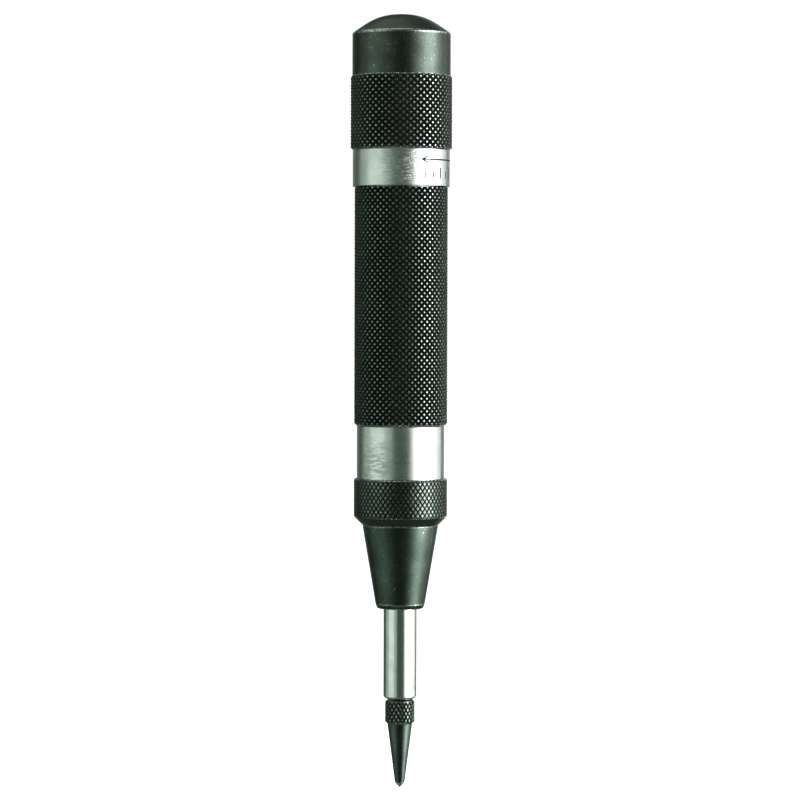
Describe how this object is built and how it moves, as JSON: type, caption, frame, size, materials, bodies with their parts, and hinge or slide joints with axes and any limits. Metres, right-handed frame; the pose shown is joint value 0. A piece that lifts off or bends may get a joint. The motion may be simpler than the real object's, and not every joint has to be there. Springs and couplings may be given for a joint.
{
  "type": "center punch",
  "caption": "Automatic center punch: knurled steel body with a spring-driven hammer, adjusting cap, sliding plunger and screw-in point.",
  "frame": {"origin": "tip of the punch point, on the tool's axis", "axes": "+Z along the tool's axis from the point to the cap; +X is the side that the trigger stands out on"},
  "size_m": [0.0176, 0.0176, 0.1333],
  "materials": {
    "black_oxide": "black oxide over turned and knurled steel, with bright turned bands",
    "black_point": "black oxide with a bright ground tip",
    "bright_steel": "polished",
    "hardened_steel": "hardened and ground",
    "spring_steel": "drawn wire"
  },
  "bodies": {
    "barrel": {"barrel": "black_oxide", "nosepiece": "black_oxide", "stop_ring": "hardened_steel", "return_spring": "spring_steel"},
    "plunger": {"plunger_rod": "bright_steel", "plunger_pin": "hardened_steel", "punch_point": "black_point"},
    "hammer": {"hammer": "hardened_steel", "trigger_spring": "spring_steel", "main_spring": "spring_steel"},
    "trigger": {"trigger": "hardened_steel"},
    "spring_seat": {"spring_seat": "hardened_steel"},
    "cap": {"adjusting_cap": "black_oxide"}
  },
  "joints": [
    {"name": "plunger_slide", "type": "slide", "parent": "barrel", "child": "plunger", "axis": [0, 0, 1], "range_m": [0, 0.0095], "stiffness_N_per_m": 300, "springref_m": -0.02, "deforming": ["return_spring"]},
    {"name": "hammer_slide", "type": "slide", "parent": "barrel", "child": "hammer", "axis": [0, 0, 1], "range_m": [0, 0.0095], "stiffness_N_per_m": 2000, "springref_m": -0.005, "deforming": ["main_spring"]},
    {"name": "trigger_slide", "type": "slide", "parent": "hammer", "child": "trigger", "axis": [-1, 0, 0], "range_m": [0, 0.00075], "stiffness_N_per_m": 400, "springref_m": -0.001, "deforming": ["trigger_spring"]},
    {"name": "cap_travel", "type": "slide", "parent": "barrel", "child": "spring_seat", "axis": [0, 0, 1], "range_m": [0, 0.003]},
    {"name": "cap_turn", "type": "hinge", "parent": "spring_seat", "child": "cap", "pos_m": [0, 0, 0.118], "axis": [0, 0, 1], "range_deg": [0, 1080]}
  ],
  "couplings": [
    {"joint": "hammer_slide", "follows": "plunger_slide", "ratio": 1},
    {"joint": "trigger_slide", "follows": "plunger_slide", "ratio": 0.0789},
    {"joint": "cap_turn", "follows": "cap_travel", "rad_per_m": 6283}
  ]
}
